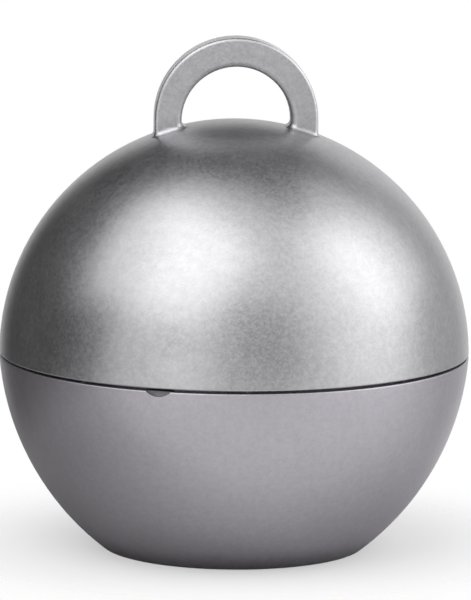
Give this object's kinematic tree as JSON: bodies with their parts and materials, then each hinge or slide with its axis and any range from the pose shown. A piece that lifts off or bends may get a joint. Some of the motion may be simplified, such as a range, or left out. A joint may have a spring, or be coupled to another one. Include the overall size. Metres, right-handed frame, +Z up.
{
  "type": "balloon weight",
  "caption": "Flat-bottomed ball that holds down a helium balloon: a dome with a ribbon loop plugs onto a cup that holds a cast ballast.",
  "frame": {"origin": "centre of the flat base, on the surface that the weight stands on", "axes": "+Z up through the ball's pole and the ribbon loop; the loop stands in the XZ plane, so a ribbon passes through it along Y"},
  "size_m": [0.04, 0.04, 0.0436],
  "materials": {
    "dome_plastic": "satin",
    "cup_plastic": "satin",
    "ballast_mortar": "matte"
  },
  "bodies": {
    "cup": {"cup": "cup_plastic", "ballast": "ballast_mortar"},
    "dome": {"dome": "dome_plastic"}
  },
  "joints": [
    {"name": "dome_pull", "type": "slide", "parent": "cup", "child": "dome", "axis": [0, 0, 1], "range_m": [0, 0.03]}
  ]
}
